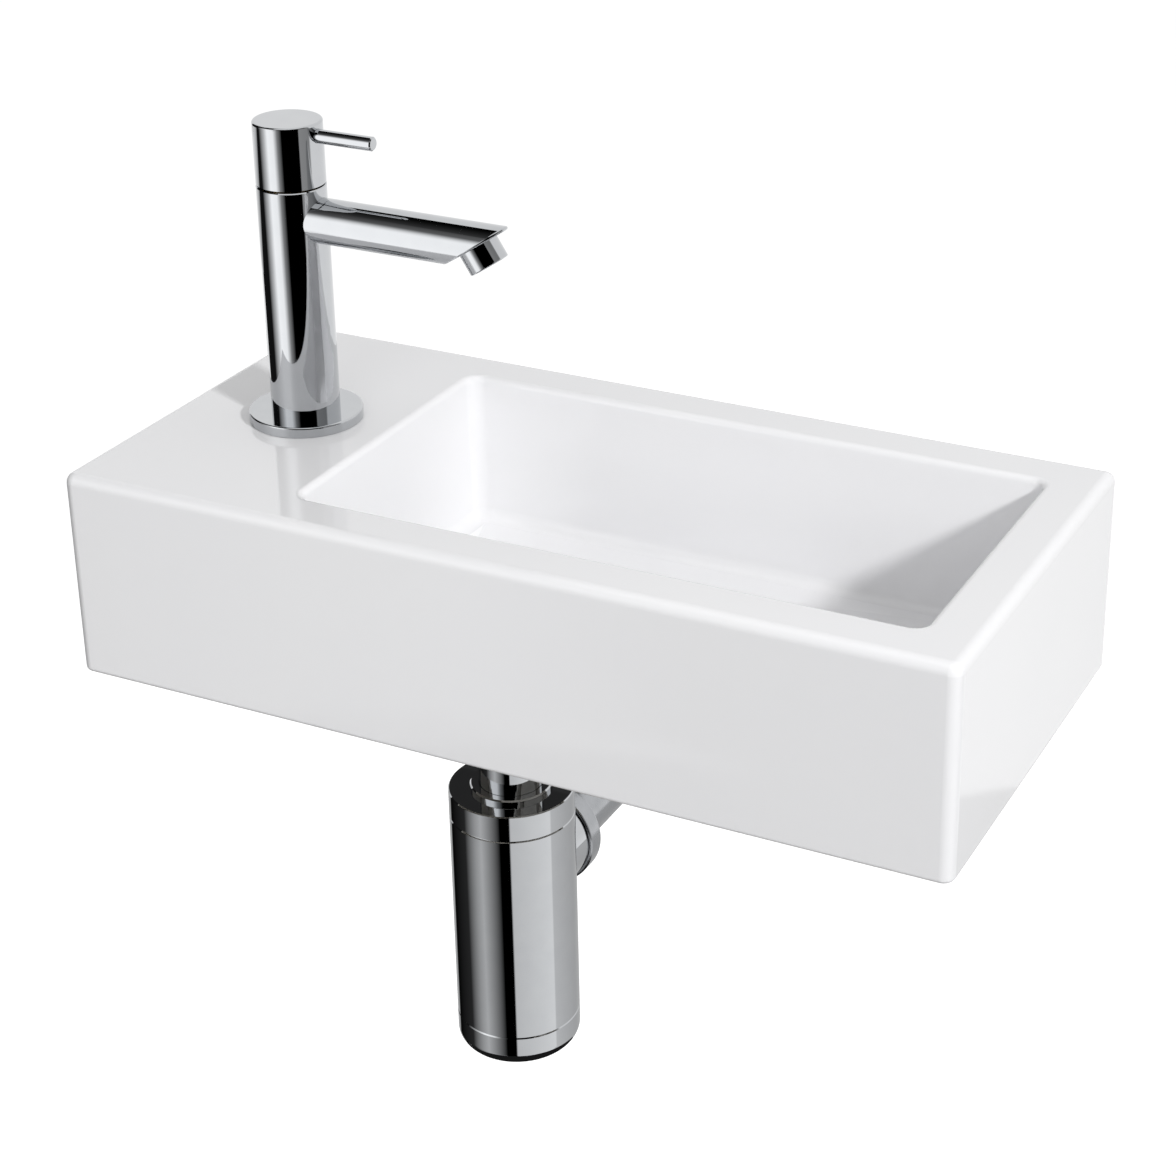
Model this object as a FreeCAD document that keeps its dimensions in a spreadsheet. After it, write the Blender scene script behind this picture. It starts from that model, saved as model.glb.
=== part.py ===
# Wall-hung hand basin with a pillar tap and a bottle trap, in millimetres.
# Frame: +X to the right, +Y to the wall, +Z up.
# The origin lies on the wall plane, midway between the two fixing holes.

import FreeCAD, Part
import Sketcher
import math
import os
import re

# Driving dimensions, each set by itself. Heights of the tap are measured from the deck.
SIZES = {
    # Basin block
    "basin_length": 385, "basin_depth": 185, "basin_height": 90,
    "corner_round": 5, "back_round": 3, "top_round": 4.5, "foot_round": 2,
    # Bowl, its rims, and how far each wall leans in from rim to floor
    "deck_width": 98, "rim_right": 22, "rim_front": 22.5, "rim_back": 22.5,
    "bowl_depth": 64, "draft_left": 6, "draft_right": 12, "draft_front": 8, "draft_back": 8,
    "bowl_corner": 6, "floor_round": 5.5, "mouth_round": 3, "floor_fall": 3, "drain_flat": 74,
    # Open underside
    "bowl_shell": 9, "skirt_wall": 9, "deck_thickness": 12, "hollow_height": 46,
    # Wall fixing
    "fixing_height": 30, "fixing_spacing": 200, "fixing_hole_radius": 6,
    # Clearances
    "turned_gap": 0.05, "thread_gap": 0.08, "seal_gap": 0.05, "pass_gap": 0.2,
    # Tap: place, cover flange and shank
    "tap_from_left": 57.5, "tap_from_wall": 92.5, "tap_hole_radius": 17.5,
    "flange_radius": 24, "flange_height": 4.6, "flange_lift": 0.2, "flange_recess": 0.8, "flange_round": 0.8,
    "gasket_radius": 22, "shank_radius": 10.48, "shank_bore": 6, "shank_grip": 13,
    "shank_tail": 20, "shank_relief_width": 2, "shank_relief_depth": 0.8,
    "deck_washer_radius": 22, "deck_washer_height": 3, "clamp_washer_radius": 21, "clamp_washer_height": 1.5,
    "backnut_flats": 30, "backnut_height": 8,
    # Tap: body and headwork
    "tap_body_radius": 14.45, "tap_body_top": 103.3, "tap_edge": 0.4,
    "waterway_radius": 6, "well_radius": 9.3, "well_depth": 27.3, "seat_seal_height": 2, "seat_seal_bore": 5.2,
    "headwork_thread_radius": 10.48, "headwork_thread_length": 8.3, "nose_radius": 8.4,
    "disc_bore": 7.3, "disc_height": 3, "disc_port_radius": 1.8, "disc_port_circle": 4,
    "spindle_radius": 3.95, "spindle_foot_radius": 5.5, "spindle_foot_height": 4.4, "nose_port_radius": 1.6,
    "shoulder_radius": 12, "shoulder_height": 2.7, "neck_radius": 8, "neck_height": 8,
    "spindle_ring_thickness": 0.9, "spindle_groove_depth": 0.9, "spindle_groove_width": 1.35,
    "spindle_ring_drop": 5, "spindle_grip": 4.9,
    # Tap: handle and lever
    "handle_radius": 14.4, "handle_gap": 0.5, "handle_height": 26.7, "handle_round": 1,
    "handle_bore": 12.6, "handle_cavity": 12,
    "lever_radius": 2.95, "lever_reach": 40.4, "lever_drop": 5.4, "lever_root": 6, "lever_chamfer": 0.5,
    "grub_radius": 2, "grub_length": 8, "grub_rise": 2.5, "grub_socket_radius": 1.1, "grub_socket_depth": 2,
    # Tap: spout and aerator
    "spout_radius": 9.5, "spout_wall": 1.75, "spout_drop": 14, "spout_reach": 101.5, "spout_mitre": 33,
    "spout_lip": 0.8, "end_plate": 2.5, "spigot_radius": 7.8, "spigot_bore": 6.6, "spout_plug": 2.4,
    "aerator_radius": 8.5, "aerator_length": 9.2, "aerator_thread_radius": 7.4, "aerator_thread_length": 4,
    "aerator_bore": 6.9, "aerator_lip": 0.8, "aerator_round": 0.6, "aerator_washer_height": 1.2,
    "aerator_step": 0.6, "aerator_floor": 1.2, "jet_radius": 0.9, "jet_circle": 4.2,
    # Waste
    "waste_from_left": 151, "waste_from_wall": 92.5, "drain_radius": 23,
    "recess_radius": 33, "recess_depth": 3.5, "upper_gasket_height": 1, "grid_radius": 31.5, "grid_sleeve": 22.3,
    "grid_wall": 1.8, "grid_sleeve_length": 7.5, "grid_dish": 1.5, "grid_plate": 2.5,
    "grid_hole_radius": 3, "grid_hole_circle": 14.5, "screw_radius": 3, "screw_head_radius": 5.5,
    "screw_head_height": 1.4, "screw_chamfer": 0.9, "lower_gasket_height": 3, "lower_gasket_radius": 30,
    "waste_flange_radius": 29, "waste_flange_height": 4, "waste_thread_radius": 20.95, "waste_bore": 18,
    "waste_cup_wall": 1.5, "waste_cone": 6, "waste_tail": 29,
    "hub_radius": 6, "hub_height": 6, "hub_depth": 9, "spoke_width": 4,
    # Trap inlet
    "coupling_radius": 23.75, "coupling_grip": 10, "coupling_lip": 5, "coupling_round": 1.2,
    "coupling_washer_height": 3, "tube_radius": 14, "tube_wall": 1.2, "tube_flange_height": 2, "dip_length": 107,
    "gland_radius": 18, "gland_height": 2.2, "gland_chamfer": 0.6, "gland_thread_radius": 16.9, "gland_thread": 8,
    "inlet_seal_height": 6,
    # Trap bottle, with its lid and clean-out cap
    "trap_drop": 67, "bottle_radius": 27.55, "bottle_wall": 1.5, "bottle_length": 102, "joint_chamfer": 0.45,
    "lid_height": 12.5, "lid_plate": 5.5, "lid_spigot": 10, "lid_hub_wall": 2.5, "lid_hub_floor": 2.5,
    "spigot_wall": 3.15, "ring_thickness": 1.3, "ring_groove_depth": 1.3, "ring_groove_width": 2, "ring_drop": 3,
    "cap_height": 16, "cap_spigot": 10, "cap_floor": 3, "cap_round": 7,
    # Trap outlet
    "outlet_drop": 42, "boss_collar_radius": 22.5, "boss_collar_reach": 27.8, "boss_thread_radius": 20.9,
    "boss_reach": 31.8, "boss_bore": 15, "outlet_nut_radius": 24, "outlet_nut_gap": 0.5, "outlet_nut_lip": 3,
    "outlet_nut_round": 1.2, "outlet_seal_height": 3, "wall_tube_radius": 16, "wall_tube_wall": 1,
    "wall_entry": 40, "stop_groove_width": 2, "stop_groove_depth": 0.6,
}

# Places worked out from the driving dimensions
LEVELS = {
    "left_x": "-basin_length / 2",
    "right_x": "basin_length / 2",
    "underside_z": "-fixing_height",
    "rim_z": "basin_height - fixing_height",
    "bowl_left": "left_x + deck_width",
    "bowl_right": "right_x - rim_right",
    "bowl_front": "-basin_depth + rim_front",
    "bowl_back": "-rim_back",
    "floor_z": "rim_z - bowl_depth",
    "drain_z": "floor_z - floor_fall",
    "shell_z": "drain_z - bowl_shell",
    "tap_x": "left_x + tap_from_left",
    "waste_x": "left_x + waste_from_left",
    # Tap, above the deck
    "gasket_height": "flange_lift + flange_recess",
    "flange_bore": "shank_radius + pass_gap",
    "clamp_top": "-deck_thickness - deck_washer_height",
    "backnut_top": "clamp_top - clamp_washer_height",
    "backnut_low": "backnut_top - backnut_height",
    "headwork_seat": "tap_body_top - well_depth",
    "nose_low": "headwork_seat + seat_seal_height",
    "discs_top": "nose_low + 2 * disc_height",
    "foot_top": "discs_top + spindle_foot_height",
    "headwork_ledge": "tap_body_top - headwork_thread_length",
    "shoulder_top": "tap_body_top + shoulder_height",
    "headwork_top": "shoulder_top + neck_height",
    "spindle_bore": "spindle_radius + turned_gap",
    "handle_low": "tap_body_top + handle_gap",
    "handle_top": "handle_low + handle_height",
    "socket_low": "handle_low + handle_cavity",
    "spindle_top": "socket_low + spindle_grip",
    "lever_z": "handle_top - lever_drop",
    "spout_height": "tap_body_top - spout_drop",
    "spigot_root": "headwork_thread_radius + pass_gap",
    "mitre_x": "spout_reach - spout_radius / tan(spout_mitre * 1deg)",
    # Waste and trap, in the frame's own heights
    "recess_z": "drain_z - recess_depth",
    "grid_low": "recess_z + upper_gasket_height",
    "waste_top": "shell_z - lower_gasket_height",
    "waste_neck": "waste_top - waste_flange_height",
    "tail_z": "waste_neck - waste_tail",
    "tube_top": "tail_z - coupling_washer_height",
    "coupling_top": "tail_z + coupling_grip",
    "coupling_seat": "tube_top - tube_flange_height",
    "coupling_low": "coupling_seat - coupling_lip",
    "tube_pass": "tube_radius + pass_gap",
    "lid_z": "underside_z - trap_drop",
    "bottle_top": "lid_z - lid_height",
    "bottle_low": "bottle_top - bottle_length",
    "bottle_bore": "bottle_radius - bottle_wall",
    "spigot_radius_in_bottle": "bottle_bore - thread_gap",
    "ring_groove_radius": "spigot_radius_in_bottle - ring_groove_depth",
    "lid_ring_z": "bottle_top - ring_drop",
    "cap_ring_z": "bottle_low + ring_drop",
    "cap_low": "bottle_low - cap_height",
    "gland_seat": "lid_z - gland_thread",
    "seal_seat": "gland_seat - inlet_seal_height",
    "outlet_z": "lid_z - outlet_drop",
    "outlet_nut_low": "boss_collar_reach + outlet_nut_gap",
    "outlet_seal_top": "boss_reach + outlet_seal_height",
    "outlet_nut_end": "outlet_seal_top + outlet_nut_lip",
}

TO_RIGHT = FreeCAD.Rotation(FreeCAD.Vector(0, 1, 0), 90)
TO_WALL = FreeCAD.Rotation(FreeCAD.Vector(1, 0, 0), -90)
UPRIGHT_WEDGE = FreeCAD.Rotation(FreeCAD.Vector(1, 0, 0), 90)
UNTURNED = FreeCAD.Rotation()
TOLERANCE = 0.01

doc = FreeCAD.newDocument("hand_basin")
pieces = []


def ref(formula, own_sheet=""):
    """Spell a formula of named sizes and levels with the sheets that hold them."""
    def with_sheet(match):
        name = match.group(0)
        if name in SIZES:
            return "Sizes." + name
        if name in LEVELS and own_sheet != "Levels":
            return "Levels." + name
        return name
    return re.sub(r"[a-z]\w*", with_sheet, formula)


def fill_sheet(name, cells):
    """Make a sheet with one named cell per entry."""
    sheet = doc.addObject("Spreadsheet::Sheet", name)
    for row, (alias, text) in enumerate(cells.items(), 1):
        sheet.set(f"A{row}", alias)
        sheet.set(f"B{row}", text)
        sheet.setAlias(f"B{row}", alias)
    return sheet


sizes = fill_sheet("Sizes", {alias: str(number) for alias, number in SIZES.items()})
levels = fill_sheet("Levels", {alias: "=" + ref(text, "Levels") for alias, text in LEVELS.items()})
doc.recompute()


def number(name):
    """Present value of a named size or level."""
    return float(getattr(sizes if name in SIZES else levels, name))


def place(item, at, turn=UNTURNED):
    """Turn an object and bind its place to the sheets."""
    item.Placement = FreeCAD.Placement(FreeCAD.Vector(), turn)
    for axis, formula in zip("xyz", at):
        item.setExpression(f"Placement.Base.{axis}", ref(formula))


def new_body(label, at=("0", "0", "0"), turn=UNTURNED, is_piece=True):
    """Start a body at its place and list it as a piece to write."""
    body = doc.addObject("PartDesign::Body", label)
    body.Label = label
    place(body, at, turn)
    if is_piece:
        pieces.append(body)
    return body


def add(body, kind, name, at=("0", "0", "0"), turn=UNTURNED, **measures):
    """Add a primitive feature to a body with its measures bound to the sheets."""
    feature = body.newObject("PartDesign::" + kind, name)
    place(feature, at, turn)
    for prop, formula in measures.items():
        feature.setExpression(prop, ref(formula))
    body.Tip = feature
    return feature


def outline(body, name, plane_role, corners):
    """Sketch a closed outline of straight edges with every corner bound to the sheets."""
    sketch = body.newObject("Sketcher::SketchObject", name)
    plane = next(item for item in body.Origin.OriginFeatures if item.Role == plane_role)
    sketch.AttachmentSupport = [(plane, "")]
    sketch.MapMode = "FlatFace"
    count = len(corners)
    angles = [math.tau * i / count for i in range(count)]
    spots = [FreeCAD.Vector(math.cos(angle), math.sin(angle), 0) for angle in angles]
    for i in range(count):
        sketch.addGeometry(Part.LineSegment(spots[i], spots[(i + 1) % count]), False)
    for i in range(count):
        sketch.addConstraint(Sketcher.Constraint("Coincident", i, 2, (i + 1) % count, 1))
    for i, corner in enumerate(corners):
        for kind, axis_line, formula in zip(("DistanceX", "DistanceY"), (-2, -1), corner):
            if formula == "0":
                sketch.addConstraint(Sketcher.Constraint("PointOnObject", i, 1, axis_line))
            else:
                index = sketch.addConstraint(Sketcher.Constraint(kind, -1, 1, i, 1, 1.0))
                sketch.setExpression(f"Constraints[{index}]", ref(formula))
    return sketch


def turned(label, corners, at, turn=UNTURNED, is_piece=True):
    """Turned piece: an outline of radius and height corners swept round the piece's own axis."""
    body = new_body(label, at, turn, is_piece)
    profile = outline(body, label + "_profile", "XZ_Plane", corners)
    sweep = body.newObject("PartDesign::Revolution", label + "_turning")
    sweep.Profile = profile
    sweep.ReferenceAxis = (profile, ["V_Axis"])
    sweep.Angle = 360
    body.Tip = sweep
    return body


def ring(label, inner, outer, low, high, at, turn=UNTURNED):
    """Plain turned ring between two radii and two heights."""
    return turned(label, [(inner, low), (outer, low), (outer, high), (inner, high)], at, turn)


def dress(body, kind, name, measure, formula, wanted):
    """Round or chamfer the edges of a body's last feature that pass a test."""
    doc.recompute()
    base = body.Tip
    names = [f"Edge{i}" for i, edge in enumerate(base.Shape.Edges, 1) if wanted(edge)]
    if not names:
        raise RuntimeError(f"{name}: no edge found")
    feature = body.newObject("PartDesign::" + kind, name)
    feature.Base = (base, names)
    feature.setExpression(measure, ref(formula))
    body.Tip = feature
    return feature


def near(first, second):
    return abs(first - second) < TOLERANCE


def circle_at(radius, height):
    """Test for a full circular edge about the piece's own axis."""
    def test(edge):
        curve = edge.Curve
        return isinstance(curve, Part.Circle) and near(curve.Radius, radius) and near(curve.Center.z, height)
    return test


def round_circle(body, name, radius_name, height_name, formula, kind="Fillet"):
    """Round or chamfer one circular edge of a turned piece."""
    measure = "Radius" if kind == "Fillet" else "Size"
    return dress(body, kind, name, measure, formula, circle_at(number(radius_name), number(height_name)))


def repeat(body, feature, name, copies):
    """Repeat a feature evenly round the body's own vertical axis."""
    pattern = body.newObject("PartDesign::PolarPattern", name)
    pattern.Originals = [feature]
    axis = next(item for item in body.Origin.OriginFeatures if item.Role == "Z_Axis")
    pattern.Axis = (axis, [""])
    pattern.Angle = 360
    pattern.Occurrences = copies
    body.Tip = pattern
    return pattern


# Basin
def make_basin():
    body = new_body("basin")
    add(body, "AdditiveBox", "block", ("left_x", "-basin_depth", "underside_z"),
        Length="basin_length", Width="basin_depth", Height="basin_height")

    def upright(y):
        def test(edge):
            box = edge.BoundBox
            return near(box.YMin, y) and near(box.YMax, y) and near(box.ZLength, number("basin_height"))
        return test

    dress(body, "Fillet", "front_corners", "Radius", "corner_round", upright(-number("basin_depth")))
    dress(body, "Fillet", "back_corners", "Radius", "back_round", upright(0))

    def flat_at(z):
        def test(edge):
            return near(edge.BoundBox.ZMin, z) and near(edge.BoundBox.ZMax, z)
        return test

    dress(body, "Fillet", "top_edge", "Radius", "top_round", flat_at(number("rim_z")))
    dress(body, "Fillet", "foot_edge", "Radius", "foot_round", flat_at(number("underside_z")))

    # Open underside: a low hollow all round, a tall tap chamber at the left and the bowl's shell in between
    hollow_corner = ("left_x + skirt_wall", "-basin_depth + skirt_wall", "underside_z")
    add(body, "SubtractiveBox", "hollow", hollow_corner,
        Length="basin_length - 2 * skirt_wall", Width="basin_depth - 2 * skirt_wall", Height="hollow_height")
    add(body, "SubtractiveBox", "tap_chamber", hollow_corner,
        Length="deck_width - skirt_wall + draft_left", Width="basin_depth - 2 * skirt_wall",
        Height="basin_height - deck_thickness")
    foot = {
        "Xmin": "bowl_left + draft_left", "Xmax": "bowl_right - draft_right",
        "Zmin": "draft_back - bowl_back", "Zmax": "-bowl_front - draft_front",
    }
    mouth = {"X2min": "bowl_left", "X2max": "bowl_right", "Z2min": "-bowl_back", "Z2max": "-bowl_front"}
    outward = {"min": " - bowl_shell", "max": " + bowl_shell"}
    shell = {side: text + outward[side[-3:]] for side, text in {**foot, **mouth}.items()}
    add(body, "AdditiveWedge", "bowl_shell", turn=UPRIGHT_WEDGE,
        Ymin="shell_z", Ymax="rim_z - deck_thickness / 2", **shell)
    add(body, "SubtractiveWedge", "bowl", turn=UPRIGHT_WEDGE, Ymin="floor_z", Ymax="rim_z", **foot, **mouth)

    def bowl_corner(edge):
        box = edge.BoundBox
        inside = box.XMin > number("bowl_left") - 1 and box.XMax < number("bowl_right") + 1
        return inside and near(box.ZMin, number("floor_z")) and near(box.ZMax, number("rim_z"))

    dress(body, "Fillet", "bowl_corners", "Radius", "bowl_corner", bowl_corner)
    dress(body, "Fillet", "bowl_floor_edge", "Radius", "floor_round", flat_at(number("floor_z")))

    def bowl_mouth(edge):
        box = edge.BoundBox
        across = box.XMin > number("bowl_left") - 1 and box.XMax < number("bowl_right") + 1
        along = box.YMin > number("bowl_front") - 1 and box.YMax < number("bowl_back") + 1
        return across and along and flat_at(number("rim_z"))(edge)

    dress(body, "Fillet", "bowl_mouth", "Radius", "mouth_round", bowl_mouth)

    # The floor falls to a flat square round the waste
    add(body, "SubtractiveWedge", "floor_slope", turn=UPRIGHT_WEDGE, Ymin="drain_z", Ymax="floor_z",
        Xmin="waste_x - drain_flat / 2", Xmax="waste_x + drain_flat / 2",
        Zmin="waste_from_wall - drain_flat / 2", Zmax="waste_from_wall + drain_flat / 2",
        X2min="bowl_left + draft_left + floor_round", X2max="bowl_right - draft_right - floor_round",
        Z2min="draft_back - bowl_back + floor_round", Z2max="-bowl_front - draft_front - floor_round")
    waste_axis = ("waste_x", "-waste_from_wall")
    add(body, "SubtractiveCylinder", "waste_recess", (*waste_axis, "recess_z"),
        Radius="recess_radius", Height="recess_depth + floor_fall")
    add(body, "SubtractiveCylinder", "waste_hole", (*waste_axis, "shell_z"),
        Radius="drain_radius", Height="recess_z - shell_z + recess_depth")
    add(body, "SubtractiveCylinder", "tap_hole", ("tap_x", "-tap_from_wall", "rim_z - deck_thickness"),
        Radius="tap_hole_radius", Height="deck_thickness")
    for side, name in ((-1, "left_fixing_hole"), (1, "right_fixing_hole")):
        add(body, "SubtractiveCylinder", name, (f"{side} * fixing_spacing / 2", "-skirt_wall", "0"), TO_WALL,
            Radius="fixing_hole_radius", Height="skirt_wall")


# Tap: what stands on the deck and what clamps it from below
def make_tap_seat():
    deck = ("tap_x", "-tap_from_wall", "rim_z")
    flange = turned("tap_flange", [
        ("flange_bore", "gasket_height"), ("gasket_radius + pass_gap", "gasket_height"),
        ("gasket_radius + pass_gap", "flange_lift"), ("flange_radius", "flange_lift"),
        ("flange_radius", "flange_height"), ("flange_bore", "flange_height")], deck)
    round_circle(flange, "flange_edge", "flange_radius", "flange_height", "flange_round")
    ring("flange_gasket", "flange_bore", "gasket_radius", "0", "gasket_height", deck)
    shank_top = "flange_height + shank_grip - pass_gap"
    tail_top = "backnut_low - shank_relief_width"
    relief = "shank_radius - shank_relief_depth"
    turned("threaded_shank", [
        ("shank_bore", f"{tail_top} - shank_tail"), ("shank_radius", f"{tail_top} - shank_tail"),
        ("shank_radius", tail_top), (relief, tail_top), (relief, "backnut_low"), ("shank_radius", "backnut_low"),
        ("shank_radius", shank_top), ("shank_bore", shank_top)], deck)
    ring("deck_washer", "flange_bore", "deck_washer_radius", "clamp_top", "-deck_thickness", deck)
    ring("clamp_washer", "flange_bore", "clamp_washer_radius", "backnut_top", "clamp_top", deck)
    nut = new_body("tap_backnut", ("tap_x", "-tap_from_wall", "rim_z + backnut_low"))
    hexagon = add(nut, "AdditivePrism", "hexagon", Circumradius="backnut_flats / 2 / cos(30deg)",
                  Height="backnut_height")
    hexagon.Polygon = 6
    add(nut, "SubtractiveCylinder", "nut_bore", Radius="shank_radius + thread_gap", Height="backnut_height")


def make_tap_body():
    deck = ("tap_x", "-tap_from_wall", "rim_z")
    shank_top = "flange_height + shank_grip"
    body = turned("tap_body", [
        ("shank_radius + thread_gap", "flange_height"), ("tap_body_radius", "flange_height"),
        ("tap_body_radius", "tap_body_top"), ("headwork_thread_radius + thread_gap", "tap_body_top"),
        ("headwork_thread_radius + thread_gap", "headwork_ledge"), ("well_radius", "headwork_ledge"),
        ("well_radius", "headwork_seat"), ("waterway_radius", "headwork_seat"),
        ("waterway_radius", shank_top), ("shank_radius + thread_gap", shank_top)], deck)
    round_circle(body, "body_top_edge", "tap_body_radius", "tap_body_top", "tap_edge", "Chamfer")
    add(body, "SubtractiveCylinder", "spout_port", ("0", "0", "spout_height"), TO_RIGHT,
        Radius="spigot_radius + turned_gap", Height="tap_body_radius")


# Quarter-turn headwork: two ceramic discs, one turned by the spindle
def make_headwork():
    deck = ("tap_x", "-tap_from_wall", "rim_z")
    ring("headwork_seat_seal", "seat_seal_bore", "nose_radius", "headwork_seat", "nose_low", deck)
    chamber_top = "foot_top + turned_gap"
    body = turned("headwork_body", [
        ("disc_bore", "nose_low"), ("nose_radius", "nose_low"), ("nose_radius", "headwork_ledge"),
        ("headwork_thread_radius", "headwork_ledge"), ("headwork_thread_radius", "tap_body_top"),
        ("shoulder_radius", "tap_body_top"), ("shoulder_radius", "shoulder_top"), ("neck_radius", "shoulder_top"),
        ("neck_radius", "headwork_top"), ("spindle_bore", "headwork_top"), ("spindle_bore", chamber_top),
        ("disc_bore", chamber_top)], deck)
    add(body, "SubtractiveCylinder", "nose_ports", ("0", "-nose_radius", "foot_top - spindle_foot_height / 2"),
        TO_WALL, Radius="nose_port_radius", Height="2 * nose_radius")
    for label, low, gap in (("fixed_disc", "nose_low", "turned_gap"),
                            ("moving_disc", "nose_low + disc_height", "thread_gap")):
        disc = new_body(label, ("tap_x", "-tap_from_wall", "rim_z + " + low))
        add(disc, "AdditiveCylinder", label + "_blank", Radius="disc_bore - " + gap, Height="disc_height")
        port = add(disc, "SubtractiveCylinder", label + "_port", ("disc_port_circle", "0", "0"),
                   Radius="disc_port_radius", Height="disc_height")
        repeat(disc, port, label + "_ports", 2)
    groove = "headwork_top - spindle_ring_drop"
    groove_radius = "spindle_radius - spindle_groove_depth"
    groove_low = f"{groove} - spindle_groove_width / 2"
    groove_high = f"{groove} + spindle_groove_width / 2"
    turned("spindle", [
        ("0", "discs_top"), ("spindle_foot_radius", "discs_top"), ("spindle_foot_radius", "foot_top"),
        ("spindle_radius", "foot_top"), ("spindle_radius", groove_low), (groove_radius, groove_low),
        (groove_radius, groove_high), ("spindle_radius", groove_high), ("spindle_radius", "spindle_top"),
        ("0", "spindle_top")], deck)
    seal = new_body("spindle_o_ring", ("tap_x", "-tap_from_wall", "rim_z + " + groove))
    add(seal, "AdditiveTorus", "spindle_seal", Radius1=f"{groove_radius} + spindle_ring_thickness / 2",
        Radius2="spindle_ring_thickness / 2")


def make_handle():
    deck = ("tap_x", "-tap_from_wall", "rim_z")
    socket_top = "spindle_top + pass_gap"
    handle = turned("tap_handle", [
        ("handle_bore", "handle_low"), ("handle_radius", "handle_low"), ("handle_radius", "handle_top"),
        ("0", "handle_top"), ("0", socket_top), ("spindle_bore", socket_top), ("spindle_bore", "socket_low"),
        ("handle_bore", "socket_low")], deck)
    round_circle(handle, "handle_top_edge", "handle_radius", "handle_top", "handle_round")
    round_circle(handle, "handle_low_edge", "handle_radius", "handle_low", "tap_edge", "Chamfer")
    add(handle, "SubtractiveCylinder", "lever_hole", ("lever_root", "0", "lever_z"), TO_RIGHT,
        Radius="lever_radius + turned_gap", Height="handle_radius - lever_root")
    add(handle, "SubtractiveCylinder", "grub_hole", ("0", "0", "socket_low + grub_rise"), TO_WALL,
        Radius="grub_radius + turned_gap", Height="handle_radius")
    lever = turned("handle_lever", [
        ("0", "lever_root"), ("lever_radius", "lever_root"), ("lever_radius", "lever_reach"), ("0", "lever_reach")],
        ("tap_x", "-tap_from_wall", "rim_z + lever_z"), TO_RIGHT)
    round_circle(lever, "lever_end", "lever_radius", "lever_reach", "lever_chamfer", "Chamfer")
    grub_end = "spindle_bore + grub_length"
    turned("handle_grub_screw", [
        ("0", "spindle_bore"), ("grub_radius", "spindle_bore"), ("grub_radius", grub_end),
        ("grub_socket_radius", grub_end), ("grub_socket_radius", f"{grub_end} - grub_socket_depth"),
        ("0", f"{grub_end} - grub_socket_depth")],
        ("tap_x", "-tap_from_wall", "rim_z + socket_low + grub_rise"), TO_WALL)


def mitred_rod(label, radius, start, end_gap):
    """Level rod from the tap's axis, cut off by the spout's mitre plane or one parallel to it further in."""
    body = new_body(label, ("tap_x", "-tap_from_wall", "rim_z + spout_height"), is_piece=False)
    add(body, "AdditiveCylinder", label + "_rod", (start, "0", "0"), TO_RIGHT,
        Radius=radius, Height=f"spout_reach - {start}")
    middle = f"mitre_x - {end_gap} / sin(spout_mitre * 1deg)"
    half = "2 * spout_radius / tan(spout_mitre * 1deg)"
    waste = outline(body, label + "_mitre_outline", "XZ_Plane", [
        (f"{middle} - {half}", "-2 * spout_radius"), (f"{middle} + {half}", "-2 * spout_radius"),
        (f"{middle} + {half}", "2 * spout_radius")])
    cut = body.newObject("PartDesign::Pocket", label + "_mitre")
    cut.Profile = waste
    cut.SideType = "Symmetric"
    cut.setExpression("Length", ref("4 * spout_radius"))
    body.Tip = cut
    return body


def make_spout():
    axis = ("tap_x", "-tap_from_wall", "rim_z + spout_height")
    tube = mitred_rod("spout_tube", "spout_radius", "waterway_radius", "0")

    def mitre_edge(edge):
        return isinstance(edge.Curve, Part.Ellipse)

    dress(tube, "Fillet", "spout_lip_edge", "Radius", "spout_lip", mitre_edge)
    waterway = mitred_rod("spout_waterway", "spout_radius - spout_wall", "tap_body_radius + spout_plug", "end_plate")
    seat = doc.addObject("Part::Cylinder", "spout_saddle")
    place(seat, ("tap_x", "-tap_from_wall", "rim_z + spout_height - 2 * spout_radius"))
    seat.setExpression("Radius", ref("tap_body_radius + turned_gap"))
    seat.setExpression("Height", ref("4 * spout_radius"))
    spigot = doc.addObject("Part::Cylinder", "spout_spigot")
    place(spigot, ("tap_x + spigot_root", *axis[1:]), TO_RIGHT)
    spigot.setExpression("Radius", ref("spigot_radius"))
    spigot.setExpression("Height", ref("tap_body_radius + spout_plug - spigot_root"))
    bore = doc.addObject("Part::Cylinder", "spout_bore")
    place(bore, ("tap_x + spigot_root", *axis[1:]), TO_RIGHT)
    bore.setExpression("Radius", ref("spigot_bore"))
    bore.setExpression("Height", ref("tap_body_radius + 2 * spout_plug - spigot_root"))
    socket = doc.addObject("Part::Cylinder", "aerator_socket")
    depth = "aerator_thread_length + aerator_washer_height"
    place(socket, (f"tap_x + mitre_x - ({depth}) * sin(spout_mitre * 1deg)", "-tap_from_wall",
                   f"rim_z + spout_height + ({depth}) * cos(spout_mitre * 1deg)"),
          FreeCAD.Rotation(FreeCAD.Vector(0, 1, 0), 90))
    socket.setExpression("Placement.Rotation.Angle", ref("180 - spout_mitre"))
    socket.setExpression("Radius", ref("aerator_thread_radius + turned_gap"))
    socket.setExpression("Height", ref(depth + " + end_plate"))
    saddled = doc.addObject("Part::Cut", "saddled_tube")
    saddled.Base = tube
    saddled.Tool = seat
    rooted = doc.addObject("Part::Fuse", "rooted_tube")
    rooted.Base = saddled
    rooted.Tool = spigot
    bores = doc.addObject("Part::MultiFuse", "spout_bores")
    bores.Shapes = [waterway, bore, socket]
    spout = doc.addObject("Part::Cut", "spout")
    spout.Base = rooted
    spout.Tool = bores
    spout.Label = "spout"
    pieces.append(spout)


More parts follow.
